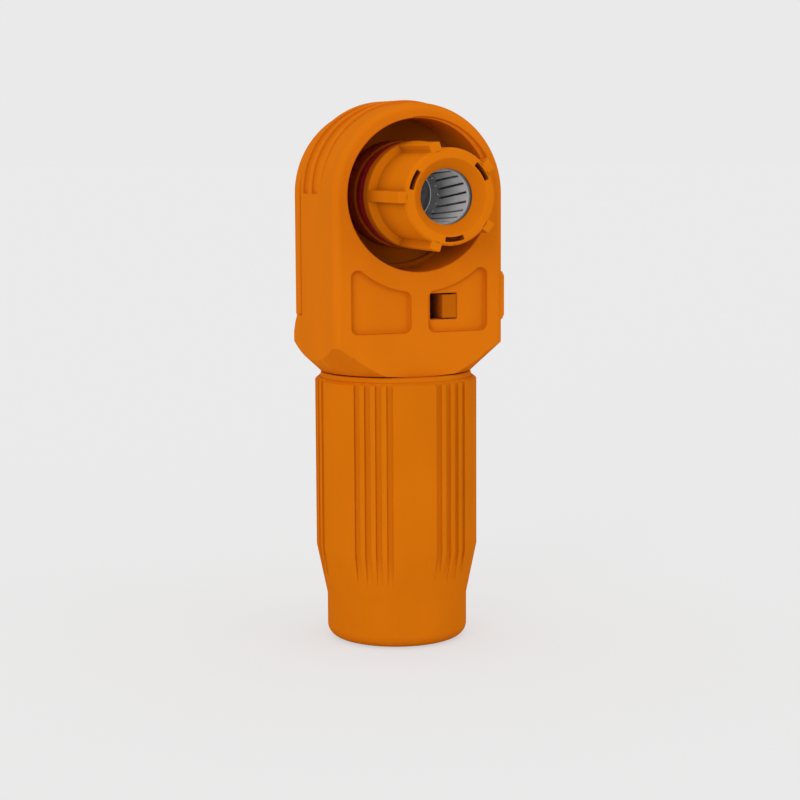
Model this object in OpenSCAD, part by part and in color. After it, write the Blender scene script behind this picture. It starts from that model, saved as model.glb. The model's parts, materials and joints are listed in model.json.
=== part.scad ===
// Right-angle energy-storage plug: a round shroud and a turning contact barrel on
// the front of a round-topped head, and a ribbed tail nut where the cable enters.
// Millimetres, +Z up, the mating side faces -Y, the stem axis is Z, and the
// origin is on that axis at the end face of the tail nut.

/* [Head] */
// Width of the head
head_w = 28.5; // [28:0.5:30]
// Height of the barrel axis above the tail end
axis_z = 71.8; // [70:0.2:74]
// Distance of the front face from the stem axis
front_y = 10.75; // [10.7:0.05:11]
// Distance of the joint between head and release slider from the stem axis
split_y = 5; // [4.9:0.1:5.1]
// Distance of the slider's back face from the stem axis
slider_back_y = 9; // [8.8:0.1:9.1]
// Distance of the rear cover's back face from the stem axis
back_y = 9.5; // [9.4:0.1:9.8]
// Rounding of the front edges
front_round = 1.3; // [0.8:0.1:1.5]
// Rise of the thumb band at the top of the arch
thumb_rise = 0.5; // [0.3:0.1:0.7]
// Radius of the neck above the tail nut
neck_r = 11; // [10.9:0.1:11.3]
// Height of the neck's lower end
neck_z = 43.5; // [43.4:0.1:43.6]

/* [Shroud] */
// Radius of the round shroud
shroud_r = 11.9; // [11.8:0.05:12]
// Position of the shroud's floor behind the stem axis
floor_y = 1.5; // [1.4:0.1:1.6]

/* [Contact barrel] */
// Distance of the barrel's end face from the stem axis
barrel_y = 23; // [22.5:0.25:24]
// Radius of the barrel between its ribs
barrel_r = 7.35; // [7.2:0.05:7.4]
// Radius over the ribs and the front flange
rib_r = 8.4; // [8.2:0.05:8.5]
// Width of a rib
rib_w = 1.75; // [1.5:0.05:2]
// Number of ribs
rib_count = 5; // [3:1:5]
// Radius of the funnel's mouth
mouth_r = 5.8; // [5.6:0.05:5.85]

/* [Contact] */
// Radius of the opening that takes the 8 mm pin
pin_r = 4.05; // [4.02:0.01:4.08]
// Number of louvre slots in the crown spring
louvres = 18; // [12:1:20]
// Width of a louvre slot
louvre_w = 0.35; // [0.2:0.05:0.35]

/* [Release slider] */
// Travel of the slider
slide_travel = 1.5; // [1:0.1:1.6]

/* [Tail nut] */
// Radius of the nut
nut_r = 13.05; // [12.9:0.05:13.2]
// Radius of the plain tail
tail_r = 11.35; // [11.2:0.05:11.5]
// Rounding of the tail's end
tail_round = 2; // [1.5:0.25:2.5]
// Radius of the cable opening
cable_r = 7.5; // [7.3:0.1:7.5]
// Depth of the grip grooves
grip_depth = 0.45; // [0.3:0.05:0.6]
// Direction of the first group of grip grooves
grip_angle = 22.3; // [0:0.1:60]

/* [Hidden] */
$fn = 96;
half_w = head_w / 2;
gap = 0.05;
over = 1;

// Lower head: a cone cuts the slab down to the round neck.
flare_r = 12.2;
flare_z = 43.7;
cone_rise = 1.08;
cone_top_z = 52;

// Block behind the stem: its top, and the thin side walls that hide the slider's legs.
block_z = 50.6;
block_slope = [0.4, 0.7];
side_wall = 0.3;
side_wall_edge = [[9, 49.6], [8.3, 51.2], [7.4, 52.4]];

// Thumb grooves that run over the arch: the front and back edge of each.
thumb_groove_y = [[-3.3, -0.15], [1.1, 3.8]];
thumb_groove_depth = 0.6;
thumb_end_z = axis_z + 0.2;
thumb_front_y = -4.9;

// Shallow step in the shroud's mouth, whose width grows from the top to its end on the right.
step_angles = [27, 95];
step_depth = 0.5;
step_width = [0.85, 0.12];

// Shallow pockets and the window in the front face.
pocket_depth = 0.9;
pocket_low_z = 50.4;
pocket_arc_r = 15.15;
pocket_in_x = 1.45;
pocket_out_x = 11.4;
pocket_round = 1.1;
window_x = [2.05, 6.6];
window_z = [52.3, 56.4];
pad_rise = 0.35;
pad_z = [52, 59.6];

// Rear pocket of the housing, which takes the latch plate and the base plate.
pocket_r = 12.9;
pocket_y = -0.2;
pocket_floor_z = 56;
bore_r = 8.3;
bore_top_z = 57.8;

// Stem under the head.
stem_r = 10.6;
stem_low_z = 22.05;
seal_bore_r = 8.6;
seal_bore_top_z = 35;
ring_groove_r = 9.75;
ring_groove_z = [41.6, 42.6];

// Latch plate and the arms that join it to the slider.
latch_y = [-0.1, 1.3];
latch_half_w = 12.75;
latch_z = [58, 66];
latch_lift = 1.2;
latch_room = 0.5;
arm_x = [10.95, 12.45];
arm_z = [59, 62];
plate_back_y = 3.2;

// Slider: inner and outer edge and the lower end of its legs.
leg_in_x = 10.9;
leg_out_x = half_w - side_wall - gap;
leg_low_z = 52.3;

// Groove in the slider's outer side, along the joint with the head.
slider_groove_y = 6.6;
slider_groove_depth = 0.5;

// Rear cap.
cap_half_w = 10.6;
cap_drop = 1.5;
cap_wall = 1.3;
cap_back_wall = 0.9;
cap_low_z = block_z + 0.1;

// Spring under each slider arm.
spring_x = 11.7;
spring_y = 4.1;
spring_coil_r = 0.65;
spring_wire_r = 0.16;
spring_turns = 5;
spring_steps = 16;
spring_sides = 8;

// Contact barrel.
rib_back_y = -10.2;
rib_front_y = -(barrel_y - 0.05);
flange_y = [-10.2, -8];
seal_y = [flange_y[1], -4.3];
seal_groove_r = 6.9;
drum_r = 8.45;
drum_edge = 0.3;
drum_back_y = -0.9;
hub_r = 7.4;
hub_back_y = floor_y - 0.1;
tail_hub_r = 6.5;
tail_hub_y = 3.95;
clip_y = [3.3, 3.8];
clip_groove_r = 6;
clip_r = 7.4;
slot_r = 6.38;
slot_w = 0.72;
slot_depth = 2.2;
slot_half_angle = 13.5;
slot_angles = [36, 156, 276];

// Contact and lug.
lip_r = 4.22;
socket_r = 5.3;
socket_bore_r = 4.5;
socket_front_y = -21.2;
socket_stop_y = -3.8;
socket_end_y = -1.5;
lug_front_y = 4.4;
lug_back_y = 6.6;
lug_barrel_r = 6;
lug_wire_r = 4.9;
lug_low_z = 36;
screw_r = 2.5;
screw_head_y = [lug_back_y + 0.62, lug_back_y + 1.75];

// Tail: seal, washer, claw and slip ring inside the nut.
nut_bore_r = stem_r + gap;
nut_top_z = 43.45;
shoulder_z = 42.2;
shoulder_r = 12.45;
collar_z = 42.7;
collar_r = [12.25, 12.1];
taper_z = [7, 15.2];
groove_low_z = 10;
groove_low_r = 11.97;
seat_z = 5;
seat_r = 10;
claw_low_z = 6.6;
claw_collar_z = [16, 20];
soft_bore_r = cable_r + 0.25;

// Plain bar between two points of an XZ outline, laid along Y.
module slab(y0, y1) {
    translate([0, y1, 0]) rotate([90, 0, 0]) linear_extrude(y1 - y0) children();
}

// Solid turned about the barrel axis from a profile of radius and Y.
module turned_on_barrel() {
    translate([0, 0, axis_z]) rotate([-90, 0, 0]) rotate_extrude() children();
}

// Round bar on the barrel axis.
module barrel_bar(r, y0, y1) {
    translate([0, y0, axis_z]) rotate([-90, 0, 0]) cylinder(r = r, h = y1 - y0);
}

// Ring on the barrel axis.
module barrel_ring(r_in, r_out, y0, y1) {
    difference() {
        barrel_bar(r_out, y0, y1);
        barrel_bar(r_in, y0 - over, y1 + over);
    }
}

// Ring on the stem axis.
module stem_ring(r_in, r_out, z0, z1) {
    translate([0, 0, z0]) difference() {
        cylinder(r = r_out, h = z1 - z0);
        translate([0, 0, -over]) cylinder(r = r_in, h = z1 - z0 + 2 * over);
    }
}

// Box between two corners.
module block(low, high) {
    translate(low) cube(high - low);
}

// The same solid on both sides of the middle plane.
module both_sides() {
    children();
    mirror([1, 0, 0]) children();
}

// Round-topped outline with straight sides, in XZ.
module arch_outline(half_width, centre_z, low_z) {
    translate([0, centre_z]) circle(r = half_width);
    translate([-half_width, low_z]) square([2 * half_width, centre_z - low_z]);
}

// Half of the head's horizontal section: radius or X, and Y, with the front edge rounded.
module head_section(back) {
    translate([0, -front_y + front_round]) square([half_w, back + front_y - front_round]);
    translate([0, -front_y]) square([half_w - front_round, front_round]);
    translate([half_w - front_round, -front_y + front_round]) circle(r = front_round);
}

// Front part of the head, up to the joint with the slider.
module head_front() {
    intersection() {
        turned_on_barrel() head_section(split_y);
        slab(-front_y - over, split_y + over)
            translate([-half_w - over, axis_z]) square([head_w + 2 * over, half_w + over]);
    }
    translate([0, 0, neck_z]) linear_extrude(axis_z - neck_z) {
        head_section(split_y);
        mirror([1, 0]) head_section(split_y);
    }
    slab(thumb_front_y, split_y) arch_outline(half_w, axis_z + thumb_rise, axis_z - over);
}

// Bar along X with an outline in YZ.
module cross_slab(x0, x1) {
    translate([x0, 0, 0]) rotate([90, 0, 90]) linear_extrude(x1 - x0) children();
}

// Block behind the stem, below the slider, with the side walls that hide the slider's legs.
module head_block() {
    inner_x = half_w - side_wall;
    cross_slab(-inner_x, inner_x) polygon([[0, neck_z], [back_y, neck_z],
        [back_y, block_z - block_slope[1]], [back_y - block_slope[0], block_z], [0, block_z]]);
    both_sides() cross_slab(inner_x, half_w) polygon(concat(
        [[0, neck_z], [side_wall_edge[0][0], neck_z]], side_wall_edge, [[0, side_wall_edge[2][1]]]));
}

// Turned envelope that narrows the lower head to the neck.
module neck_envelope() {
    cone_top_r = flare_r + cone_rise * (cone_top_z - flare_z);
    rotate_extrude() polygon([[0, neck_z], [neck_r, neck_z], [flare_r, flare_z],
        [cone_top_r, cone_top_z], [cone_top_r, axis_z + 2 * half_w], [0, axis_z + 2 * half_w]]);
}

// Grooves over the arch for the thumb.
module thumb_grooves() {
    for (g = thumb_groove_y) slab(g[0], g[1]) difference() {
        intersection() {
            arch_outline(half_w + over, axis_z + thumb_rise, thumb_end_z);
            translate([-half_w - over, thumb_end_z]) square(head_w + 2 * over);
        }
        arch_outline(half_w - thumb_groove_depth, axis_z + thumb_rise, thumb_end_z - over);
    }
}

// Outline of the step in the shroud's mouth, in XZ.
module step_outline() {
    span = step_angles[1] - step_angles[0];
    polygon(concat([[0, axis_z]], [for (i = [0:12])
        let (a = step_angles[0] + span * i / 12,
             r = shroud_r + step_width[0] + (step_width[1] - step_width[0]) * i / 12)
        [r * cos(a), axis_z + r * sin(a)]]));
}

// Outline of one shallow pocket in the front face, with round corners.
module pocket_outline() {
    inner_w = pocket_out_x - pocket_in_x - 2 * pocket_round;
    offset(r = pocket_round) difference() {
        translate([pocket_in_x + pocket_round, pocket_low_z + pocket_round]) square([inner_w, 12]);
        translate([0, axis_z]) circle(r = pocket_arc_r + pocket_round);
    }
}

module housing() color("darkorange") {
    difference() {
        union() {
            intersection() {
                union() {
                    head_front();
                    head_block();
                }
                neck_envelope();
            }
            translate([0, 0, stem_low_z]) cylinder(r = stem_r, h = neck_z - stem_low_z + 0.1);
            slab(-front_y + 0.4, 3) polygon([[half_w - over, pad_z[0]], [half_w, pad_z[0]],
                [half_w + pad_rise, pad_z[0] + 0.7], [half_w + pad_rise, pad_z[1] - 0.7],
                [half_w, pad_z[1]], [half_w - over, pad_z[1]]]);
        }
        barrel_bar(shroud_r, -front_y - over, pocket_y + over);
        slab(-front_y - over, -front_y + step_depth) step_outline();
        slab(pocket_y, split_y + over) arch_outline(pocket_r, axis_z, pocket_floor_z);
        cylinder(r = bore_r, h = bore_top_z);
        cylinder(r = seal_bore_r, h = seal_bore_top_z);
        translate([0, 0, ring_groove_z[0]]) difference() {
            cylinder(r = stem_r + over, h = ring_groove_z[1] - ring_groove_z[0]);
            translate([0, 0, -over])
                cylinder(r = ring_groove_r, h = ring_groove_z[1] - ring_groove_z[0] + 2 * over);
        }
        thumb_grooves();
        both_sides() slab(-front_y - over, -front_y + pocket_depth) pocket_outline();
        block([window_x[0], -front_y - over, window_z[0]], [window_x[1], 0, window_z[1]]);
    }
}

// Floor of the shroud, which carries the contact barrel.
module base_plate() color("orange") {
    difference() {
        slab(floor_y, plate_back_y) arch_outline(pocket_r - 0.1, axis_z, pocket_floor_z + 0.1);
        barrel_bar(tail_hub_r + gap, floor_y - over, plate_back_y + over);
        both_sides() block([arm_x[0] - 0.2, floor_y - over, arm_z[0] - slide_travel - 0.3],
                           [pocket_r + over, plate_back_y + over, arm_z[1] + 0.3]);
    }
}

// Latch fork whose lower edge stands into the shroud until the slider is pressed.
module latch_plate() color("orange") {
    difference() {
        slab(latch_y[0], latch_y[1]) translate([-latch_half_w, latch_z[0]])
            square([2 * latch_half_w, latch_z[1] - latch_z[0]]);
        translate([0, 0, latch_lift])
            barrel_bar(shroud_r + latch_room, latch_y[0] - over, latch_y[1] + over);
        both_sides() block([arm_x[0], latch_y[0] - over, arm_z[0]],
                           [arm_x[1], latch_y[1] + over, arm_z[1]]);
    }
}

// Arched slider at the back of the head, pressed down to release the plug.
module release_slider() color("darkorange") {
    difference() {
        union() {
            slab(split_y + gap, slider_groove_y + over)
                arch_outline(leg_out_x - slider_groove_depth, axis_z, leg_low_z);
            slab(slider_groove_y, slider_back_y) arch_outline(leg_out_x, axis_z, leg_low_z);
        }
        slab(split_y - over, slider_back_y + over)
            arch_outline(leg_in_x, axis_z, leg_low_z - over);
    }
    both_sides() block([arm_x[0], latch_y[0], arm_z[0]],
                       [arm_x[1], split_y + gap + over, arm_z[1]]);
}

// Coil spring, swept round its axis.
module slider_spring(x) {
    low = pocket_floor_z + spring_wire_r + 0.02;
    rise = arm_z[0] - pocket_floor_z - 2 * spring_wire_r - 0.04;
    rings = spring_turns * spring_steps;
    points = [for (i = [0:rings], j = [0:spring_sides - 1])
        let (turn = 360 * i / spring_steps, side = 360 * j / spring_sides,
             r = spring_coil_r + spring_wire_r * cos(side))
        [r * cos(turn), r * sin(turn), low + rise * i / rings + spring_wire_r * sin(side)]];
    walls = [for (i = [0:rings - 1], j = [0:spring_sides - 1])
        let (k = (j + 1) % spring_sides)
        [i * spring_sides + j, i * spring_sides + k, (i + 1) * spring_sides + k,
         (i + 1) * spring_sides + j]];
    start = [for (j = [spring_sides - 1:-1:0]) j];
    end = [for (j = [0:spring_sides - 1]) rings * spring_sides + j];
    translate([x, spring_y, 0]) polyhedron(points, concat([start], walls, [end]));
}

module slider_spring_left() color("silver") slider_spring(-spring_x);

module slider_spring_right() color("silver") slider_spring(spring_x);

// Cover over the lug and its screw.
module rear_cap() color("darkorange") {
    top_z = axis_z - cap_drop;
    difference() {
        union() {
            slab(split_y + gap, back_y) arch_outline(cap_half_w, top_z, cap_low_z);
            slab(plate_back_y + gap, split_y + over)
                arch_outline(cap_half_w, top_z, pocket_floor_z + 0.1);
        }
        slab(plate_back_y - over, back_y - cap_back_wall)
            arch_outline(cap_half_w - cap_wall, top_z, cap_low_z - over);
    }
}

// Collar that holds the lug in the stem, with the tab that shows in the window.
module lug_retainer() color("orange") {
    tab_x = [window_x[0] + 2.1, window_x[1] - 0.1];
    tab_z = [window_z[0] + 0.2, window_z[1] - 0.25];
    stem_ring(lug_barrel_r + gap, bore_r - gap, 45, 48);
    intersection() {
        translate([0, 0, 45]) cylinder(r = bore_r - gap, h = 15);
        block([tab_x[0], -bore_r, 47], [tab_x[1], -lug_barrel_r - 0.15, tab_z[1]]);
    }
    block([tab_x[0], -front_y + pocket_depth + 0.15, tab_z[0]], [tab_x[1], -5, tab_z[1]]);
}

// Insulating contact barrel that turns in the shroud.
module contact_carrier() color("orange") {
    difference() {
        union() {
            turned_on_barrel() polygon([
                [lip_r, socket_front_y - 0.15], [mouth_r, -barrel_y], [barrel_r - 0.3, -barrel_y],
                [barrel_r, -barrel_y + 0.4], [barrel_r, flange_y[0] - 0.8], [rib_r, flange_y[0]],
                [rib_r, flange_y[1]], [seal_groove_r, seal_y[0]], [seal_groove_r, seal_y[1]],
                [drum_r - drum_edge, seal_y[1]], [drum_r, seal_y[1] + drum_edge],
                [drum_r, drum_back_y], [hub_r, drum_back_y],
                [hub_r, hub_back_y], [tail_hub_r, hub_back_y], [tail_hub_r, clip_y[0]],
                [clip_groove_r, clip_y[0]], [clip_groove_r, clip_y[1]],
                [tail_hub_r, clip_y[1]], [tail_hub_r, tail_hub_y],
                [socket_r + gap, tail_hub_y], [socket_r + gap, socket_front_y - 0.05],
                [lip_r, socket_front_y - 0.05]]);
            intersection() {
                for (i = [0:rib_count - 1]) translate([0, 0, axis_z])
                    rotate([0, -36 - i * 360 / rib_count, 0])
                        block([barrel_r - 0.7, rib_front_y, -rib_w / 2],
                              [rib_r + over, rib_back_y + 0.3, rib_w / 2]);
                turned_on_barrel() polygon([[6, rib_front_y], [rib_r - 0.15, rib_front_y],
                    [rib_r, rib_front_y + 0.15], [rib_r, 0], [6, 0]]);
            }
        }
        for (a = slot_angles) intersection() {
            barrel_ring(slot_r - slot_w / 2, slot_r + slot_w / 2, -barrel_y - over,
                        -barrel_y + slot_depth);
            slab(-barrel_y - 2 * over, 0) translate([0, axis_z]) polygon([[0, 0],
                10 * [cos(a - slot_half_angle), sin(a - slot_half_angle)],
                10 * [cos(a + slot_half_angle), sin(a + slot_half_angle)]]);
        }
    }
}

// Silicone ring with a crowned sealing face, behind the barrel's front flange.
module interface_seal() color("darkred") {
    crown = rib_r - 0.03;
    low = seal_y[0] + gap;
    high = seal_y[1] - gap;
    middle = (low + high) / 2;
    turned_on_barrel() polygon([
        [seal_groove_r + 0.01, low], [crown - 0.3, low], [crown - 0.15, low + 0.35],
        [crown - 0.15, middle - 0.6], [crown, middle - 0.25], [crown, middle + 0.25],
        [crown - 0.15, middle + 0.6], [crown - 0.15, high - 0.35], [crown - 0.3, high],
        [seal_groove_r + 0.01, high]]);
}

// Silicone ring between the barrel's drum and the shroud's floor.
module carrier_ring() color("darkred") {
    turned_on_barrel() translate([hub_r + 0.55, (drum_back_y + floor_y) / 2]) circle(r = 0.5);
}

// Open retaining ring behind the base plate.
module carrier_clip() color("silver") {
    difference() {
        barrel_ring(clip_groove_r + 0.05, clip_r, clip_y[0] + 0.05, clip_y[1] - 0.05);
        block([-1.2, clip_y[0] - over, axis_z - 9], [1.2, clip_y[1] + over, axis_z]);
    }
}

// Silver-plated socket that takes the pin.
module contact_socket() color("silver") {
    turned_on_barrel() polygon([
        [socket_r, socket_front_y], [socket_r, lug_front_y - 0.01], [2.1, lug_front_y - 0.01],
        [2.1, -0.6], [0, -0.6], [0, socket_end_y], [3.9, socket_end_y], [3.9, socket_stop_y],
        [socket_bore_r, socket_stop_y], [socket_bore_r, socket_front_y]]);
}

// Louvred crown spring inside the socket.
module crown_spring() color("lightgray") {
    lean = 6.2;
    slot_len = 11;
    mid_y = -14.1;
    difference() {
        barrel_ring(pin_r, socket_bore_r - 0.07, -20.6, socket_stop_y - 1.6);
        for (i = [0:louvres - 1]) translate([0, mid_y, axis_z]) rotate([0, i * 360 / louvres, 0])
            rotate([-lean, 0, 0]) block([3, -slot_len / 2, -louvre_w / 2],
                                        [6, slot_len / 2, louvre_w / 2]);
    }
}

// Ring that keeps the crown spring in the socket.
module crown_ring() color("silver") {
    barrel_ring(pin_r + 0.2, socket_bore_r - 0.01, socket_front_y + 0.05, -20.65);
}

// Crimp lug: barrel on the stem axis, cranked to a flat palm behind the socket.
module contact_lug() color("silver") {
    difference() {
        union() {
            translate([0, 0, lug_low_z]) cylinder(r = lug_barrel_r, h = 50 - lug_low_z);
            intersection() {
                translate([-lug_barrel_r - 1, 0, 0]) rotate([90, 0, 90])
                    linear_extrude(2 * lug_barrel_r + 2) polygon([[-lug_barrel_r, 49],
                        [lug_barrel_r, 49], [lug_back_y, 53], [lug_back_y, 60],
                        [lug_front_y, 60], [lug_front_y, 57.5], [3.8, 55.8]]);
                translate([0, 0, 40]) cylinder(r = 7.6, h = 30);
            }
            slab(lug_front_y, lug_back_y) arch_outline(7, axis_z, 58);
        }
        translate([0, 0, lug_low_z - over]) cylinder(r = lug_wire_r, h = 12 + over);
        barrel_bar(screw_r + 0.2, lug_front_y - over, lug_back_y + over);
    }
}

// Low-headed screw that clamps the lug on the socket.
module contact_screw() color("silver") {
    difference() {
        union() {
            barrel_bar(2.05, 0.2, screw_head_y[0] + 0.1);
            barrel_bar(4.2, screw_head_y[0], screw_head_y[1]);
        }
        translate([0, screw_head_y[0] + 0.4, axis_z]) rotate([-90, 0, 0])
            cylinder(r = 1.75, h = 2, $fn = 6);
    }
}

// Split washer under the screw head.
module spring_washer() color("silver") {
    difference() {
        barrel_ring(2.65, 4.3, lug_back_y + 0.01, lug_back_y + 0.61);
        block([0, lug_back_y - over, axis_z - 0.25], [6, lug_back_y + 2, axis_z + 0.25]);
    }
}

// Soft grommet that seals on the cable.
module cable_seal() color("darkred") {
    difference() {
        union() {
            stem_ring(soft_bore_r, seal_bore_r - gap, stem_low_z, 33.5);
            stem_ring(soft_bore_r, stem_r - 0.2, 21.05, stem_low_z - 0.01);
            stem_ring(soft_bore_r, seal_bore_r - 0.3, stem_low_z - 0.5, stem_low_z + 0.5);
        }
        for (i = [0:3]) translate([0, 0, 23.5 + 2.6 * i]) rotate_extrude()
            translate([soft_bore_r, 0]) circle(r = 0.3);
    }
}

// Plain washer between seal and claw.
module seal_washer() color("gainsboro") {
    stem_ring(soft_bore_r, stem_r - 0.15, claw_collar_z[1] + 0.05, 21.04);
}

// Slotted claw that grips the cable jacket.
module clamp_claw() color("dimgray") {
    fingers = 10;
    difference() {
        rotate_extrude() polygon([[soft_bore_r, claw_low_z], [soft_bore_r + 0.7, claw_low_z],
            [soft_bore_r + 1.5, claw_low_z + 1.2], [soft_bore_r + 1.8, claw_collar_z[0] - 1],
            [stem_r - 0.25, claw_collar_z[0]], [stem_r - 0.25, claw_collar_z[1]],
            [soft_bore_r, claw_collar_z[1]]]);
        for (i = [0:fingers - 1]) rotate([0, 0, i * 360 / fingers])
            block([5, -0.5, claw_low_z - over], [12, 0.5, claw_collar_z[0] - 0.5]);
    }
}

// Ring in the nut's seat, which pushes the claw without turning with the nut.
module slip_ring() color("gainsboro") {
    rotate_extrude() polygon([[soft_bore_r, seat_z + gap], [seat_r - gap, seat_z + gap],
        [seat_r - gap, seat_z + 2.3], [seat_r - 0.35, seat_z + 2.3],
        [soft_bore_r + 0.9, seat_z + 1.3], [soft_bore_r, seat_z + 1.3]]);
}

// Tail nut with groups of flat-bottomed grip grooves and a collar at the top.
module tail_nut() color("darkorange") {
    groups = 6;
    groove_w = 0.95;
    groove_pitch = 8;
    floor_r = nut_r - grip_depth;
    far_r = nut_r + over;
    difference() {
        rotate_extrude() difference() {
            union() {
                polygon([[cable_r, 0], [tail_r - tail_round, 0], [tail_r - tail_round, tail_round],
                    [tail_r, tail_round], [tail_r, taper_z[0]], [nut_r, taper_z[1]],
                    [nut_r, shoulder_z], [shoulder_r, collar_z],
                    [collar_r[0], collar_z], [collar_r[1], nut_top_z],
                    [nut_bore_r, nut_top_z], [nut_bore_r, 13], [seat_r, 10], [seat_r, seat_z],
                    [cable_r, seat_z]]);
                translate([tail_r - tail_round, tail_round]) circle(r = tail_round);
            }
        }
        for (g = [0:groups - 1], i = [-1.5:1:1.5])
            rotate([0, 0, grip_angle + g * 360 / groups + groove_pitch * i])
                cross_slab(-groove_w / 2, groove_w / 2) polygon([[-far_r, groove_low_z],
                    [-groove_low_r, groove_low_z], [-floor_r, taper_z[1]],
                    [-floor_r, nut_top_z], [-far_r, nut_top_z]]);
    }
}

// Rubber ring in the groove at the root of the stem.
module neck_ring() color("dimgray") {
    rotate_extrude() translate([ring_groove_r + 0.42, (ring_groove_z[0] + ring_groove_z[1]) / 2])
        circle(r = 0.4);
}

housing();
base_plate();
latch_plate();
release_slider();
slider_spring_left();
slider_spring_right();
rear_cap();
lug_retainer();
contact_carrier();
interface_seal();
carrier_ring();
carrier_clip();
contact_socket();
crown_spring();
crown_ring();
contact_lug();
contact_screw();
spring_washer();
cable_seal();
seal_washer();
clamp_claw();
slip_ring();
tail_nut();
neck_ring();
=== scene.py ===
"""Looks of a right-angle high voltage plug, laid out as a Blender add-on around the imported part.

Everything is in metres, in the part's own frame: +Z up along the stem, the mating side faces -Y.
The head, slider, rear cap, barrel, nut and springs are copies of their CAD nodes, rounded and
dressed, that stand for those nodes. The stem's thread and the louvred band's details are new
pieces, and every other node keeps its own mesh. The stage operator makes the floor, the light
and the camera.
"""

import json
from math import cos, pi, radians, sin

import bpy
from bpy.props import FloatProperty, FloatVectorProperty, IntProperty, PointerProperty
from mathutils import Matrix, Vector
from mathutils.geometry import intersect_point_line

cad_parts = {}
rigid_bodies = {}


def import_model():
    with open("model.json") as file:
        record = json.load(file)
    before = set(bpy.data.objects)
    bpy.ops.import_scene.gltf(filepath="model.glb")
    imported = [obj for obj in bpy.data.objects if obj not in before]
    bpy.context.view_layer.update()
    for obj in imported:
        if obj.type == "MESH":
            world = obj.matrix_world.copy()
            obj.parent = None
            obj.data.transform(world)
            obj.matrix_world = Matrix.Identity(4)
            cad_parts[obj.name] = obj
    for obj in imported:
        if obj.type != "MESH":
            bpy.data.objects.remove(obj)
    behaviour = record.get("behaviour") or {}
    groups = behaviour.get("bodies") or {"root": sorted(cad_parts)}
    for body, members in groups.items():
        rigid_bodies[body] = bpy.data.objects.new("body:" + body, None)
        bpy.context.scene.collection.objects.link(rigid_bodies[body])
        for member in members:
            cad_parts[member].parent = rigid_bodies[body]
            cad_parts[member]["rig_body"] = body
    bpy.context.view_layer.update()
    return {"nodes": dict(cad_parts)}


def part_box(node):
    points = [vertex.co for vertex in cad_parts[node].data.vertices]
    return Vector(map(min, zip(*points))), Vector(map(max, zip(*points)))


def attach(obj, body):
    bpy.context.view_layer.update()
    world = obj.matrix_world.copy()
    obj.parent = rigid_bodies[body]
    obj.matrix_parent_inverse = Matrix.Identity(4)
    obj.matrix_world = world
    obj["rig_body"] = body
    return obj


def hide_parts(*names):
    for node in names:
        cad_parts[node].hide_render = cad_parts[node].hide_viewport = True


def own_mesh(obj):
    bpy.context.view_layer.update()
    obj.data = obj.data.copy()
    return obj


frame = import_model()

bl_info = {
    "name": "Right-angle high voltage plug",
    "version": (1, 0, 0),
    "blender": (4, 5, 0),
    "location": "3D View > Sidebar > Plug",
    "description": "Rounds, dresses and lights the plug around its packed CAD part",
    "category": "Object",
}

MM = 0.001
BARREL_AXIS_Z = sum(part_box("contact_socket")[i].z for i in (0, 1)) / 2

# Copies of CAD meshes: points that are one, faces that are one flat area, edges that are
# rounded, on the head only the steep ones, and faces that are shaded as one surface
MERGE = 0.002 * MM
FLAT = radians(0.5)
CREASE = radians(28)
HEAD_CREASE = radians(62)
SMOOTH = radians(50)
DETAIL_SMOOTH = radians(40)

# Share of the narrowest face beside an edge that its rounding may take, and the cosine of the
# angle past which another edge of that face runs back along it
FACE_SHARE = 0.35
FACING = -0.3

# Planes, (point, normal) in millimetres, that cut flat areas through their openings
MIDDLE = ((0, 0, 0), (1, 0, 0))
POCKET_MIDDLES = (((6.4, 0, 0), (1, 0, 0)), ((-6.4, 0, 0), (1, 0, 0)))
WINDOW_MIDDLE = ((4.3, 0, 0), (1, 0, 0))
WINDOW_HEIGHT = ((0, 0, 54.3), (0, 0, 1))
SHROUD_HEIGHT = ((0, 0, 71.8), (0, 0, 1))
BEFORE_STEM = ((0, -3, 0), (0, 1, 0))
HEAD_CUTS = (MIDDLE, *POCKET_MIDDLES, WINDOW_MIDDLE, SHROUD_HEIGHT, WINDOW_HEIGHT, BEFORE_STEM)
ARM_CUTS = (MIDDLE, ((11.7, 0, 0), (1, 0, 0)), ((-11.7, 0, 0), (1, 0, 0)))
ARC_SLOT_ANGLES = (36, 156, 276)

# Heights of the neck's shoulder, whose edges stay sharp, of the neck ring's groove, under which
# the stem is cut back, and of a place on the stem under all that is wider, and how far a point
# of the stem's surface may be off its radius
NECK_BAND = (42.65 * MM, 44.7 * MM)
GROOVE_Z = 41.7 * MM
LOW_STEM_Z = 30 * MM
STEM_SLACK = 0.03 * MM

# Thread: its turns and their steps, its start above the stem's end, how deep it is set in, half
# its height at the root as a share of the pitch, that at the crest as a share of the root's, and
# the number of profiles over which it runs out
THREAD_TURNS = 11
THREAD_STEPS = 72
THREAD_START = 0.7 * MM
THREAD_SINK = 0.05 * MM
THREAD_FOOT = 0.42
THREAD_TIP = 0.35
RUN_OUT = 10

# Louvred band: its number of louvres, and how far inside its outer side its details sit
LOUVRES = 18
BAND_DEPTH = 0.38 * MM

# Direction towards each lamp and how wide it is
KEY_SOURCE, KEY_WIDTH = (-0.7, -0.69, 0.08), radians(28)
FILL_SOURCE, FILL_WIDTH = (0.6, -0.7, 0.08), radians(45)

# Floor: its side and height, how much of it glows by itself, and its tone away from the camera
FLOOR_SIZE = 20
FLOOR_Z = -0.0001
SHADOW_LIFT = 0.66
FLOOR_BOUNCE = 0.85

# Shade painted into hollows: its reach in the plastic's creases, inside the shroud and in the
# metal's slots, and the openness under which it is darkest
CREASE_REACH = 1.3 * MM
SHROUD_REACH = 8 * MM
SLOT_REACH = 0.6 * MM
HOLLOW_START = 0.35
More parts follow.
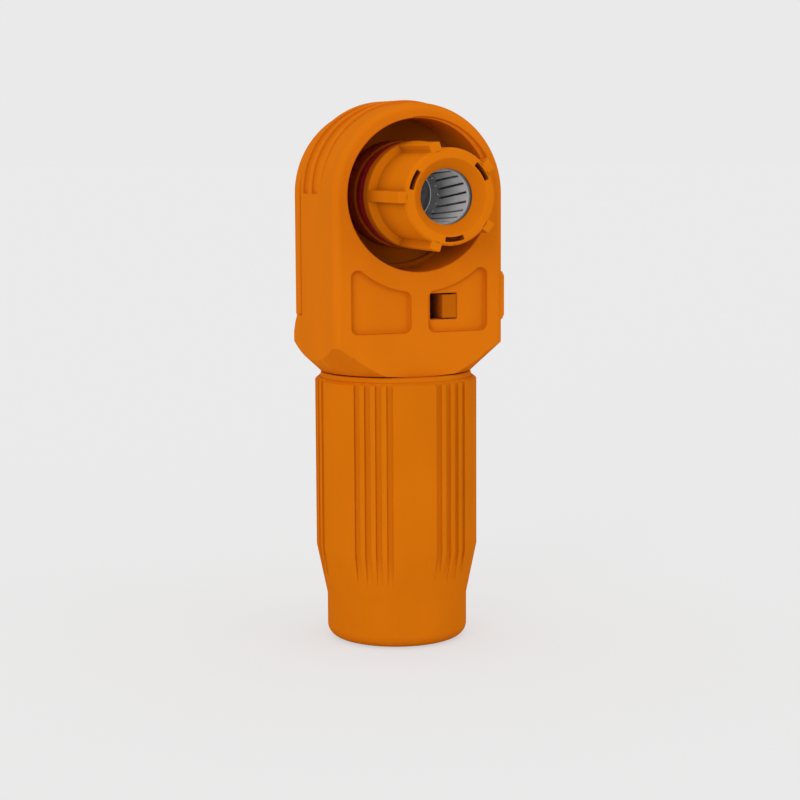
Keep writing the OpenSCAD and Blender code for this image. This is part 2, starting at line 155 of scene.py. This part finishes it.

# Trace of gloss on the plastic, size of the metal's tool marks in millimetres, and the shade
# painted on the socket and the light and shade painted on the louvres along the barrel axis, each
# a Y in millimetres and a share
MATT = 0.001
TOOL_MARKS = 0.08
SOCKET_PAINTED_SHADE = ((-21.2, 0.1), (-20, 0.1), (-6.5, 0.14), (-5.5, 0.75), (-4, 0.75), (2, 1))
LOUVRE_PAINTED_SHADING = ((-20.65, 0.12), (-20.4, 1.1), (-14, 1.2), (-11.5, 1.2), (-9, 0.95), (-5, 0.9))


def linear(r, g, b):
    """Scene colour of an 8-bit display colour."""
    def channel(c):
        c /= 255
        return c / 12.92 if c <= 0.04045 else ((c + 0.055) / 1.055) ** 2.4
    return channel(r), channel(g), channel(b)


def colour(name, description, rgb):
    """Colour property with a display colour as its default."""
    return FloatVectorProperty(name=name, description=description, subtype="COLOR",
                               size=3, min=0, max=1, default=linear(*rgb))


def length(name, description, millimetres, top=5):
    """Length property whose default is given in millimetres."""
    return FloatProperty(name=name, description=description, default=millimetres * MM, min=0,
                         soft_max=top * MM, precision=5, subtype="DISTANCE", unit="LENGTH")


class PlugColours(bpy.types.PropertyGroup):
    """Colours of the plug's finishes"""
    shell: colour("Shell", "Moulded orange of the head, slider and rear cap", (214, 113, 14))
    nut: colour("Nut", "Moulded orange of the tail nut", (207, 110, 11))
    barrel: colour("Barrel", "Moulded orange of the contact barrel", (213, 113, 11))
    # Painted shade: a darker copy of the shell's orange, for parts that sit recessed in shade
    inside: colour("Inner parts", "Orange of the base plate and lug retainer", (184, 95, 9))
    silicone: colour("Silicone", "Dark red of the seals", (150, 26, 38))
    rubber: colour("Rubber", "Black of the rubber rings", (28, 28, 29))
    claw: colour("Claw", "Black plastic of the clamp claw", (38, 38, 40))
    acetal: colour("Acetal", "White of the washer and slip ring", (226, 224, 216))
    plated: colour("Plating", "Silver plating of the contact", (226, 226, 228))
    louvre: colour("Louvres", "Metal of the crown spring", (232, 232, 233))
    steel: colour("Steel", "Steel of the springs, clip, screw and washer", (168, 170, 174))


class PlugSizes(bpy.types.PropertyGroup):
    """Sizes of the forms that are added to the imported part"""
    head_edge: length("Head edges", "Rounding of the head's edges", 0.22)
    slider_edge: length("Slider edges", "Rounding of the release slider's edges", 0.22)
    barrel_edge: length("Barrel edges", "Rounding of the contact barrel's edges", 0.1)
    nut_edge: length("Nut edges", "Rounding of the grip grooves and the nut's end", 0.15)
    dimple: length("Dimples", "Radius of the dimples at the louvres' inner ends", 0.3)
    dimple_depth: length("Dimple depth", "Distance of the dimples in front of the stem axis", 8.1,
                         top=20)
    end_ring: length("End ring", "Thickness of the louvred band's rolled inner end", 0.14)
    end_ring_depth: length("End ring depth", "Distance of that end from the stem axis", 5.35,
                           top=20)
    thread_root: length("Thread root", "Radius of the stem between its thread's turns", 10.05,
                        top=12)
    thread_crest: length("Thread crest", "Radius of the stem's thread", 10.52, top=12)
    thread_pitch: length("Thread pitch", "Rise of the stem's thread in one turn", 1.5)
    edge_steps: IntProperty(name="Edge steps", description="Faces across one rounded edge",
                            default=3, min=1, max=6)


class StudioSettings(bpy.types.PropertyGroup):
    """Camera, ground and light"""
    turn: FloatProperty(name="Turn", description="Camera's turn round the plug, towards -X",
                        default=radians(21.5), subtype="ANGLE", unit="ROTATION")
    tilt: FloatProperty(name="Tilt", description="Camera's look downwards",
                        default=radians(7.194), subtype="ANGLE", unit="ROTATION")
    roll: FloatProperty(name="Roll", description="Camera's roll about its view line",
                        default=radians(-0.31), subtype="ANGLE", unit="ROTATION")
    distance: FloatProperty(name="Distance", description="Camera's distance from its aim",
                            default=0.32273, subtype="DISTANCE", unit="LENGTH")
    aim_side: FloatProperty(name="Aim to the right", description="Aim's shift across the view",
                            default=0.000676, precision=6, subtype="DISTANCE", unit="LENGTH")
    aim_height: FloatProperty(name="Aim height", description="Height of the camera's aim",
                              default=0.038541, precision=6, subtype="DISTANCE", unit="LENGTH")
    lens: FloatProperty(name="Lens", description="Focal length of the camera",
                        default=89.54, subtype="DISTANCE_CAMERA", unit="CAMERA")
    ground: colour("Ground", "Colour of the floor and of the view past it", (234, 234, 234))
    sky_level: FloatProperty(name="Sky level", description="Strength of the even light",
                             default=0.9, min=0, soft_max=2, subtype="FACTOR")
    key_level: FloatProperty(name="Key light", description="Strength of the light at front left",
                             default=1.1, min=0, soft_max=5, subtype="FACTOR")
    fill_level: FloatProperty(name="Fill light", default=0.44, min=0, soft_max=5,
                              description="Strength of the light at front right",
                              subtype="FACTOR")


def select_only(piece):
    """Makes piece the one selected object."""
    bpy.ops.object.select_all(action="DESELECT")
    piece.select_set(True)
    bpy.context.view_layer.objects.active = piece


def apply_modifier(piece, kind, **values):
    """Adds a modifier to the piece and applies it."""
    select_only(piece)
    bpy.ops.object.modifier_add(type=kind)
    modifier = piece.modifiers[-1]
    for name, value in values.items():
        setattr(modifier, name, value)
    bpy.ops.object.modifier_apply(modifier=modifier.name)


def copy_of(node, name, cuts=()):
    """Copy of a CAD node with its points merged and its flat areas joined.

    Each cut is a plane, (point, normal) in millimetres, through the openings of a flat area, so
    that no joined face runs round a hole.
    """
    piece = bpy.data.objects.new(name, frame["nodes"][node].data.copy())
    bpy.context.scene.collection.objects.link(piece)
    piece.data.materials.clear()
    select_only(piece)
    bpy.ops.mesh.customdata_custom_splitnormals_clear()
    bpy.ops.object.mode_set(mode="EDIT")
    bpy.ops.mesh.select_all(action="SELECT")
    bpy.ops.mesh.remove_doubles(threshold=MERGE)
    for point, normal in cuts:
        bpy.ops.mesh.select_all(action="SELECT")
        bpy.ops.mesh.bisect(plane_co=Vector(point) * MM, plane_no=normal, threshold=MERGE)
        bpy.ops.mesh.mark_seam()
    bpy.ops.mesh.select_all(action="SELECT")
    bpy.ops.mesh.dissolve_limited(angle_limit=FLAT, delimit={"SEAM"})
    bpy.ops.mesh.mark_seam(clear=True)
    bpy.ops.object.mode_set(mode="OBJECT")
    return piece


def creases(mesh, least):
    """Edges between two faces that meet at more than the least angle."""
    beside = {}
    for face in mesh.polygons:
        for key in face.edge_keys:
            beside.setdefault(key, []).append(face)
    return {key for key, faces in beside.items()
            if len(faces) == 2 and faces[0].normal.angle(faces[1].normal, 0) > least}


def widths_beside(mesh, sharp):
    """Width of the narrowest face strip beside each crease."""
    room = {}
    for face in mesh.polygons:
        corners = [mesh.vertices[v].co for v in face.vertices]
        sides = [(key, start, end) for key, start, end in
                 zip(face.edge_keys, corners, corners[1:] + corners[:1]) if key in sharp]
        for key, start, end in sides:
            along, middle = (end - start).normalized(), (start + end) / 2
            reach = max((corner - start).cross(along).length for corner in corners)
            for _, tail, tip in sides:
                if along.dot((tip - tail).normalized()) < FACING:
                    near, share = intersect_point_line(middle, tail, tip)
                    near = tail.lerp(tip, min(1, max(0, share)))
                    reach = min(reach, (middle - near).length)
            room[key] = min(reach, room.get(key, reach))
    return room


def weigh_creases(piece, width, least, sharp_band):
    """Gives each crease a bevel weight that keeps its rounding inside the faces beside it.

    Creases between the two heights of the sharp band stay as they are.
    """
    mesh = piece.data
    sharp = creases(mesh, least)
    room = widths_beside(mesh, sharp)
    weights = mesh.attributes.new("bevel_weight_edge", "FLOAT", "EDGE")
    low, high = sharp_band
    for edge in mesh.edges:
        if edge.key in sharp and not all(low < mesh.vertices[v].co.z < high for v in edge.key):
            weights.data[edge.index].value = min(1, FACE_SHARE * room[edge.key] / width)


def empty_piece(name):
    """New piece at the origin, open for primitives in edit mode."""
    piece = bpy.data.objects.new(name, bpy.data.meshes.new(name))
    bpy.context.scene.collection.objects.link(piece)
    select_only(piece)
    bpy.ops.object.mode_set(mode="EDIT")
    return piece


def finish_piece(piece, node, finish):
    """Closes a new piece, shades it smooth and lets it ride with a CAD node."""
    bpy.ops.mesh.select_all(action="SELECT")
    bpy.ops.mesh.normals_make_consistent(inside=False)
    bpy.ops.object.mode_set(mode="OBJECT")
    bpy.ops.object.shade_smooth_by_angle(angle=DETAIL_SMOOTH)
    piece.data.materials.append(finish)
    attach(piece, frame["nodes"][node]["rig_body"])


def round_edges(piece, width, steps, least=CREASE, sharp_band=(0, 0)):
    """Rounds the creases sharper than the least angle and shades the piece smooth."""
    weigh_creases(piece, width, least, sharp_band)
    apply_modifier(piece, "BEVEL", width=width, segments=steps, limit_method="WEIGHT",
                   use_clamp_overlap=False, miter_outer="MITER_ARC", loop_slide=True)
    select_only(piece)
    bpy.ops.object.shade_smooth_by_angle(angle=SMOOTH)
    apply_modifier(piece, "WEIGHTED_NORMAL", keep_sharp=True, weight=80)


def place(piece, node, finish):
    """Lets the piece stand for a CAD node, on that node's body and with its finish."""
    source = frame["nodes"][node]
    piece.data.materials.clear()
    piece.data.materials.append(finish)
    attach(piece, source["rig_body"])
    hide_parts(node)


class Finish:
    """Node material of one surface, built on Object coordinates in millimetres."""

    def __init__(self, name):
        self.material = bpy.data.materials.new(name)
        self.material.use_nodes = True
        self.tree = self.material.node_tree
        self.shader = self.tree.nodes["Principled BSDF"]
        self.place = self.add("ShaderNodeMapping")
        self.place.inputs["Scale"].default_value = (1 / MM,) * 3
        self.join(self.add("ShaderNodeTexCoord").outputs["Object"], self.place.inputs["Vector"])

    def add(self, kind, **values):
        """New node with the values of its settings and sockets."""
        made = self.tree.nodes.new(kind)
        for name, value in values.items():
            if hasattr(made, name):
                setattr(made, name, value)
            else:
                made.inputs[name.replace("_", " ")].default_value = value
        return made

    def join(self, source, target):
        """Link from an output to an input."""
        self.tree.links.new(source, target)

    def noise(self, size, detail=3.0, rough=0.5, stretch=None):
        """Noise with features of that size in millimetres, stretched along an axis if asked."""
        made = self.add("ShaderNodeTexNoise", Scale=1 / size, Detail=detail, Roughness=rough)
        source = self.place.outputs["Vector"]
        if stretch:
            longer = self.add("ShaderNodeMapping")
            longer.inputs["Scale"].default_value = stretch
            self.join(source, longer.inputs["Vector"])
            source = longer.outputs["Vector"]
        self.join(source, made.inputs["Vector"])
        return made.outputs["Fac"]

    def spread(self, source, low, high, start=0.3, end=0.7):
        """Value between start and end, spread from low to high."""
        made = self.add("ShaderNodeMapRange")
        self.join(source, made.inputs["Value"])
        for name, value in (("From Min", start), ("From Max", end),
                            ("To Min", low), ("To Max", high)):
            made.inputs[name].default_value = value
        return made.outputs["Result"]

    def tint(self, source, tone, dark, light):
        """Base colour that wanders between a darker and a lighter tone of one colour."""
        mix = self.add("ShaderNodeMix", data_type="RGBA")
        sockets = [s for s in mix.inputs if s.type == "RGBA"]
        for socket, factor in zip(sockets, (dark, light)):
            socket.default_value = (*(min(1, c * factor) for c in tone), 1)
        self.join(source, mix.inputs["Factor"])
        mixed = [s for s in mix.outputs if s.type == "RGBA"][0]
        self.join(mixed, self.shader.inputs["Base Color"])

    def paint_shading(self, share):
        """Paints shade and light by multiplying the base colour by a share that varies over the
        surface.
        """
        base = self.shader.inputs["Base Color"]
        mix = self.add("ShaderNodeMix", data_type="RGBA", blend_type="MULTIPLY")
        first, second = [s for s in mix.inputs if s.type == "RGBA"]
        mix.inputs["Factor"].default_value = 1
        self.join(base.links[0].from_socket, first)
        self.join(share, second)
        self.join([s for s in mix.outputs if s.type == "RGBA"][0], base)

    def paint_hollow_shade(self, reach, dark, alone=True, end=0.9):
        """Paints shade into creases and slots of the piece alone, or also where other pieces are
        near.
        """
        hollow = self.add("ShaderNodeAmbientOcclusion", samples=8, only_local=alone,
                          Distance=reach)
        self.paint_shading(self.spread(hollow.outputs["AO"], dark, 1, start=HOLLOW_START, end=end))

    def paint_shade_along(self, stops):
        """Paints shade and light along the barrel axis; a stop is a Y in millimetres and a share.
        """
        spot = self.add("ShaderNodeSeparateXYZ")
        self.join(self.place.outputs["Vector"], spot.inputs["Vector"])
        start, end = stops[0][0], stops[-1][0]
        ramp = self.add("ShaderNodeValToRGB")
        marks = ramp.color_ramp.elements
        marks[0].color = (*[stops[0][1]] * 3, 1)
        marks[1].color = (*[stops[-1][1]] * 3, 1)
        for y, share in stops[1:-1]:
            marks.new((y - start) / (end - start)).color = (*[share] * 3, 1)
        self.join(self.spread(spot.outputs["Y"], 0, 1, start=start, end=end), ramp.inputs["Fac"])
        self.paint_shading(ramp.outputs["Color"])

    def roughness(self, source, low, high):
        """Roughness that wanders between two values."""
        self.join(self.spread(source, low, high), self.shader.inputs["Roughness"])

    def bump(self, source, depth, strength):
        """Relief of that depth in metres, laid over any relief made before it."""
        made = self.add("ShaderNodeBump", Strength=strength, Distance=depth)
        self.join(source, made.inputs["Height"])
        before = self.shader.inputs["Normal"].links
        if before:
            self.join(before[0].from_socket, made.inputs["Normal"])
        self.join(made.outputs["Normal"], self.shader.inputs["Normal"])

    def surface(self, **values):
        """Values that are the same all over the surface."""
        for name, value in values.items():
            self.shader.inputs[name.replace("_", " ")].default_value = value


def moulded_plastic(name, tone, hollows=0.84, enclosed_shade=None):
    """Satin plastic from a finely eroded mould, with faint flow marks and painted shade in
    hollows.
    """
    finish = Finish(name)
    flow = finish.noise(size=7, detail=2, stretch=(1, 1, 0.45))
    grain = finish.noise(size=0.16, detail=4, rough=0.6)
    finish.tint(finish.spread(flow, 0, 1), tone, dark=0.965, light=1.03)
    finish.roughness(grain, low=0.46, high=0.58)
    finish.bump(finish.noise(size=2.4, detail=2), depth=0.02 * MM, strength=0.35)
    finish.bump(grain, depth=0.01 * MM, strength=0.5)
    # Painted shade in the piece's own creases and slots
    finish.paint_hollow_shade(CREASE_REACH, hollows)
    # Painted shade where other pieces are near, such as inside the shroud
    if enclosed_shade:
        finish.paint_hollow_shade(SHROUD_REACH, enclosed_shade, alone=False, end=1)
    finish.surface(Specular_IOR_Level=MATT)
    return finish.material


def soft_silicone(name, tone):
    """Silicone rubber with a dull skin, a faint bloom and a trace of light through it."""
    finish = Finish(name)
    bloom = finish.noise(size=1.8, detail=4)
    finish.tint(finish.spread(bloom, 0, 1), tone, dark=0.85, light=1.12)
    finish.roughness(finish.noise(size=0.4), low=0.34, high=0.5)
    finish.bump(finish.noise(size=0.25, detail=2), depth=0.008 * MM, strength=0.5)
    finish.surface(Specular_IOR_Level=0.4, Subsurface_Weight=0.12, Subsurface_Scale=0.0006)
    return finish.material


def dull_rubber(name, tone):
    """Black rubber with a fine talc bloom."""
    finish = Finish(name)
    talc = finish.noise(size=0.8, detail=5)
    finish.tint(finish.spread(talc, 0, 1), tone, dark=0.8, light=1.5)
    finish.roughness(finish.noise(size=0.5), low=0.55, high=0.75)
    finish.bump(finish.noise(size=0.12), depth=0.01 * MM, strength=0.5)
    return finish.material


def plain_acetal(name, tone):
    """Waxy white engineering plastic."""
    finish = Finish(name)
    cloud = finish.noise(size=4, detail=2)
    finish.tint(finish.spread(cloud, 0, 1), tone, dark=0.95, light=1.02)
    finish.roughness(finish.noise(size=0.7), low=0.36, high=0.48)
    finish.bump(finish.noise(size=0.2), depth=0.006 * MM, strength=0.4)
    finish.surface(Specular_IOR_Level=0.4, Subsurface_Weight=0.1, Subsurface_Scale=0.0008)
    return finish.material


def metal(name, tone, rough, along=(1, 1, 1), bare=1.0, slots=None, stops=()):
    """Metal with tool marks along one axis and a slight tarnish.

    If asked, shade is painted into its narrow slots, and light and shade along the barrel axis.
    """
    finish = Finish(name)
    tarnish = finish.noise(size=2.2, detail=4)
    marks = finish.noise(TOOL_MARKS, detail=3, stretch=along)
    finish.tint(finish.spread(tarnish, 0, 1), tone, dark=0.88, light=1.04)
    finish.roughness(marks, low=rough - 0.06, high=rough + 0.08)
    # Painted shade in narrow slots
    if slots:
        finish.paint_hollow_shade(SLOT_REACH, slots)
    if stops:
        finish.paint_shade_along(stops)
    finish.bump(marks, depth=0.004 * MM, strength=0.6)
    finish.surface(Metallic=bare)
    return finish.material


def dress(nodes, finish):
    """Gives CAD nodes that keep their own mesh a finish."""
    for node in nodes:
        frame["nodes"][node].data.materials.clear()
        frame["nodes"][node].data.materials.append(finish)


class PlugOperator(bpy.types.Operator):
    """Operator that has the plug's colours and sizes at hand"""
    bl_options = {"REGISTER", "UNDO"}

    @property
    def colours(self):
        return bpy.context.scene.plug_colours

    @property
    def sizes(self):
        return bpy.context.scene.plug_sizes


class PLUG_OT_stage(PlugOperator):
    """Make the pale floor, the soft light and the camera"""
    bl_idname = "plug.stage"
    bl_label = "Floor, light and camera"

    def sun(self, name, strength, source, softness):
        """Distant soft light from the direction of source; returns its light on the floor."""
        towards = Vector(source).normalized()
        turn = (-towards).to_track_quat("-Z", "Y").to_euler()
        bpy.ops.object.light_add(type="SUN", location=towards, rotation=turn)
        made = bpy.context.object
        made.name = made.data.name = name
        made.data.energy = strength
        made.data.angle = softness
        return strength * towards.z

    def world(self, ground, level):
        """Even light from all round; the camera sees the ground's colour in its place."""
        world = bpy.data.worlds.new("even_light")
        world.use_nodes = True
        tree = world.node_tree
        seen, even = tree.nodes["Background"], tree.nodes.new("ShaderNodeBackground")
        seen.inputs["Color"].default_value = (*ground, 1)
        even.inputs["Color"].default_value = (1, 1, 1, 1)
        even.inputs["Strength"].default_value = level
        path = tree.nodes.new("ShaderNodeLightPath")
        mix = tree.nodes.new("ShaderNodeMixShader")
        tree.links.new(path.outputs["Is Camera Ray"], mix.inputs["Fac"])
        tree.links.new(even.outputs[0], mix.inputs[1])
        tree.links.new(seen.outputs[0], mix.inputs[2])
        tree.links.new(mix.outputs[0], tree.nodes["World Output"].inputs["Surface"])
        return world

    def floor(self, ground, light):
        """Floor that shows the ground's colour where no shadow falls."""
        bpy.ops.object.select_all(action="DESELECT")
        bpy.ops.mesh.primitive_plane_add(size=FLOOR_SIZE, location=(0, 0, FLOOR_Z))
        floor = bpy.context.object
        floor.name = "floor"
        finish = Finish("floor_paper")
        finish.surface(Roughness=1, Specular_IOR_Level=0)
        glow = finish.add("ShaderNodeEmission", Color=(*ground, 1), Strength=1)
        share = finish.add("ShaderNodeMixShader")
        path = finish.add("ShaderNodeLightPath")
        paper = [tone * pi / light for tone in ground]
        finish.tint(path.outputs["Is Camera Ray"], paper, FLOOR_BOUNCE, 1)
        weight = finish.add("ShaderNodeMath", operation="MULTIPLY")
        weight.inputs[1].default_value = SHADOW_LIFT
        finish.join(path.outputs["Is Camera Ray"], weight.inputs[0])
        finish.join(weight.outputs[0], share.inputs["Fac"])
        finish.join(finish.shader.outputs["BSDF"], share.inputs[1])
        finish.join(glow.outputs[0], share.inputs[2])
        finish.join(share.outputs[0], finish.tree.nodes["Material Output"].inputs["Surface"])
        floor.data.materials.append(finish.material)

    def execute(self, context):
        studio = context.scene.plug_studio
        ground = tuple(studio.ground)
        context.scene.view_settings.view_transform = "Standard"
        context.scene.world = self.world(ground, studio.sky_level)
        light = pi * studio.sky_level
        light += self.sun("key", studio.key_level, KEY_SOURCE, KEY_WIDTH)
        light += self.sun("fill", studio.fill_level, FILL_SOURCE, FILL_WIDTH)
        self.floor(ground, light)

        turn = Matrix.Rotation(-studio.turn, 4, "Z")
        look = turn @ Matrix.Rotation(pi / 2 - studio.tilt, 4, "X") \
            @ Matrix.Rotation(studio.roll, 4, "Z")
        aim = turn @ Vector((studio.aim_side, 0, 0)) + Vector((0, 0, studio.aim_height))
        spot = aim + look @ Vector((0, 0, studio.distance))
        bpy.ops.object.camera_add(location=spot, rotation=look.to_euler())
        camera = context.object
        camera.data.sensor_fit = "HORIZONTAL"
        camera.data.sensor_width = 36
        camera.data.lens = studio.lens
        camera.data.clip_start, camera.data.clip_end = 0.01, 10
        context.scene.camera = camera
        return {"FINISHED"}


class PLUG_OT_head(PlugOperator):
    """Round the head, the slider and the rear cap, and cut the stem back to its thread's root"""
    bl_idname = "plug.head"
    bl_label = "Head"

    def cut_stem_back(self, head, root):
        """Narrows the stem below the neck ring's groove to the root of its thread."""
        mesh = head.data
        stem_r = max(Vector((v.co.x, v.co.y)).length for v in mesh.vertices
                     if v.co.z < LOW_STEM_Z)
        for part in (mesh.edges, mesh.polygons):
            part.foreach_set("select", [False] * len(part))
        for vertex in mesh.vertices:
            off = Vector((vertex.co.x, vertex.co.y)).length
            vertex.select = abs(off - stem_r) < STEM_SLACK and vertex.co.z < GROOVE_Z
        select_only(head)
        bpy.ops.object.mode_set(mode="EDIT")
        bpy.ops.transform.resize(value=(root / stem_r, root / stem_r, 1),
                                 center_override=(0, 0, 0))
        bpy.ops.object.mode_set(mode="OBJECT")

    def execute(self, context):
        finish = moulded_plastic("shell_orange", self.colours.shell)
        head = copy_of("housing", "head_shell", cuts=HEAD_CUTS)
        self.cut_stem_back(head, self.sizes.thread_root)
        round_edges(head, self.sizes.head_edge, self.sizes.edge_steps, least=HEAD_CREASE,
                    sharp_band=NECK_BAND)
        place(head, "housing", finish)
        for node, name in (("release_slider", "slider_shell"), ("rear_cap", "cap_shell")):
            piece = copy_of(node, name, cuts=ARM_CUTS)
            round_edges(piece, self.sizes.slider_edge, self.sizes.edge_steps)
            place(piece, node, finish)
        return {"FINISHED"}


class PLUG_OT_contact(PlugOperator):
    """Add the dimples and the rolled inner end of the louvred band, and give it its finish"""
    bl_idname = "plug.contact"
    bl_label = "Louvred contact"

    def execute(self, context):
        sizes = self.sizes
        low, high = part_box("crown_spring")
        depth = -sizes.dimple_depth
        bore = (high.z - low.z) / 2 - BAND_DEPTH
        details = empty_piece("louvre_details")
        for i in range(LOUVRES):
            turn = 2 * pi * i / LOUVRES
            spot = (bore * cos(turn), depth, BARREL_AXIS_Z - bore * sin(turn))
            bpy.ops.mesh.primitive_uv_sphere_add(segments=16, ring_count=8, radius=sizes.dimple,
                                                 location=spot)
        bpy.ops.mesh.primitive_torus_add(
            location=(0, -sizes.end_ring_depth, BARREL_AXIS_Z), rotation=(pi / 2, 0, 0),
            major_segments=96, minor_segments=12, major_radius=bore, minor_radius=sizes.end_ring)
        finish_piece(details, "crown_spring",
                     metal("dimple_metal", self.colours.louvre, rough=0.16))
        # Painted light and shade along the barrel axis, and painted shade in the louvres' slots
        dress(("crown_spring",), metal(
            "louvre_metal", self.colours.louvre, rough=0.42, along=(1, 0.1, 1), bare=0.3,
            slots=0.15, stops=LOUVRE_PAINTED_SHADING))
        return {"FINISHED"}


class PLUG_OT_thread(PlugOperator):
    """Wind the stem's thread, which shows when the tail nut is off its seat"""
    bl_idname = "plug.thread"
    bl_label = "Stem thread"

    def run_out(self, mesh, corners, root):
        """Lets the thread rise from its root over the first and sink over the last profiles."""
        last = len(mesh.vertices) // corners - 1
        for vertex in mesh.vertices:
            step = vertex.index // corners
            off = Vector((vertex.co.x, vertex.co.y)).length
            share = min(1, (step + 1) / RUN_OUT, (last - step + 1) / RUN_OUT)
            wanted = root + (off - root) * share
            vertex.co.x *= wanted / off
            vertex.co.y *= wanted / off

    def execute(self, context):
        sizes = self.sizes
        thread = empty_piece("stem_thread")
        bpy.ops.mesh.primitive_plane_add(size=1, location=(0, 0, 0), rotation=(pi / 2, 0, 0))
        foot = sizes.thread_pitch * THREAD_FOOT
        tip = foot * THREAD_TIP
        root, crest = sizes.thread_root - THREAD_SINK, sizes.thread_crest
        corners = ((root, -foot), (crest, -tip), (root, foot), (crest, tip))
        middle_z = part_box("housing")[0].z + THREAD_START + foot
        bpy.ops.object.mode_set(mode="OBJECT")
        for vertex, (r, z) in zip(thread.data.vertices, corners):
            vertex.co = (r, 0, middle_z + z)
        apply_modifier(thread, "SCREW", axis="Z", angle=2 * pi, screw_offset=sizes.thread_pitch,
                       iterations=THREAD_TURNS, steps=THREAD_STEPS, render_steps=THREAD_STEPS,
                       use_merge_vertices=True)
        self.run_out(thread.data, len(corners), root)
        bpy.ops.object.mode_set(mode="EDIT")
        bpy.ops.mesh.select_all(action="DESELECT")
        bpy.ops.mesh.select_non_manifold()
        bpy.ops.mesh.edge_face_add()
        finish_piece(thread, "housing", bpy.data.materials["shell_orange"])
        return {"FINISHED"}


class PLUG_OT_barrel(PlugOperator):
    """Round the contact barrel's edges and give it its finish"""
    bl_idname = "plug.barrel"
    bl_label = "Contact barrel"

    def execute(self, context):
        axis = SHROUD_HEIGHT[0]
        barrel = copy_of("contact_carrier", "barrel_body", cuts=[
            (axis, (sin(radians(a)), 0, -cos(radians(a)))) for a in ARC_SLOT_ANGLES])
        round_edges(barrel, self.sizes.barrel_edge, self.sizes.edge_steps)
        # Painted shade in the barrel's creases and slots, and where the shroud closes round it
        place(barrel, "contact_carrier",
              moulded_plastic("barrel_orange", self.colours.barrel, hollows=0.78, enclosed_shade=0.68))
        return {"FINISHED"}


class PLUG_OT_tail(PlugOperator):
    """Round the tail nut's grip grooves and ends"""
    bl_idname = "plug.tail"
    bl_label = "Tail nut"

    def execute(self, context):
        nut = copy_of("tail_nut", "tail_grip", cuts=(MIDDLE,))
        round_edges(nut, self.sizes.nut_edge, self.sizes.edge_steps)
        place(nut, "tail_nut", moulded_plastic("nut_orange", self.colours.nut, hollows=0.9))
        return {"FINISHED"}


class PLUG_OT_finishes(PlugOperator):
    """Give the nodes that keep their own mesh their finishes"""
    bl_idname = "plug.finishes"
    bl_label = "Inner parts"

    def execute(self, context):
        tones = self.colours
        # Painted shade: the recessed inner parts take a darker copy of the shell's orange
        dress(("base_plate", "latch_plate", "lug_retainer"),
              moulded_plastic("inner_orange_shaded", tones.inside))
        dress(("interface_seal", "carrier_ring", "cable_seal"),
              soft_silicone("red_seal", tones.silicone))
        dress(("neck_ring",), dull_rubber("ring_rubber", tones.rubber))
        dress(("clamp_claw",), moulded_plastic("claw_black", tones.claw))
        dress(("seal_washer", "slip_ring"), plain_acetal("acetal_white", tones.acetal))
        # Painted shade on the socket and crown ring, darkest from the mouth to the louvres' inner
        # end
        dress(("contact_socket", "crown_ring"), metal(
            "socket_plating", tones.plated, rough=0.4, bare=0.45, stops=SOCKET_PAINTED_SHADE))
        dress(("contact_lug",), metal("silver_plating", tones.plated, rough=0.4, bare=0.45))
        dress(("carrier_clip", "contact_screw", "spring_washer"),
              metal("spring_steel", tones.steel, rough=0.36))
        return {"FINISHED"}


class PLUG_OT_springs(PlugOperator):
    """Make the slider's springs, shaded smooth and riding with their CAD nodes' bodies"""
    bl_idname = "plug.springs"
    bl_label = "Slider springs"

    def execute(self, context):
        for side in ("left", "right"):
            node = f"slider_spring_{side}"
            spring = copy_of(node, f"coil_{side}")
            select_only(spring)
            bpy.ops.object.shade_smooth_by_angle(angle=SMOOTH)
            place(spring, node, bpy.data.materials["spring_steel"])
            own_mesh(spring)
        return {"FINISHED"}


class PLUG_PT_panel(bpy.types.Panel):
    """Sidebar list of the plug's pieces"""
    bl_idname = "PLUG_PT_panel"
    bl_label = "High voltage plug"
    bl_space_type = "VIEW_3D"
    bl_region_type = "UI"
    bl_category = "Plug"

    def draw(self, context):
        for step in STEPS:
            self.layout.operator(step.bl_idname)
        for group in (context.scene.plug_sizes, context.scene.plug_colours,
                      context.scene.plug_studio):
            box = self.layout.box()
            for name in group.__annotations__:
                box.prop(group, name)


STEPS = (PLUG_OT_stage, PLUG_OT_head, PLUG_OT_thread, PLUG_OT_barrel, PLUG_OT_contact,
         PLUG_OT_tail, PLUG_OT_finishes, PLUG_OT_springs)
GROUPS = {"plug_colours": PlugColours, "plug_sizes": PlugSizes, "plug_studio": StudioSettings}


def register():
    """Registers the classes and hangs the settings on the scene."""
    for kind in (*GROUPS.values(), *STEPS, PLUG_PT_panel):
        bpy.utils.register_class(kind)
    for name, kind in GROUPS.items():
        setattr(bpy.types.Scene, name, PointerProperty(type=kind))


def unregister():
    """Takes back what register made."""
    for name in GROUPS:
        delattr(bpy.types.Scene, name)
    for kind in (PLUG_PT_panel, *reversed(STEPS), *reversed(GROUPS.values())):
        bpy.utils.unregister_class(kind)


def main():
    """Makes every piece and the stage."""
    register()
    for step in STEPS:
        area, name = step.bl_idname.split(".")
        getattr(getattr(bpy.ops, area), name)()


if __name__ == "__main__":
    main()
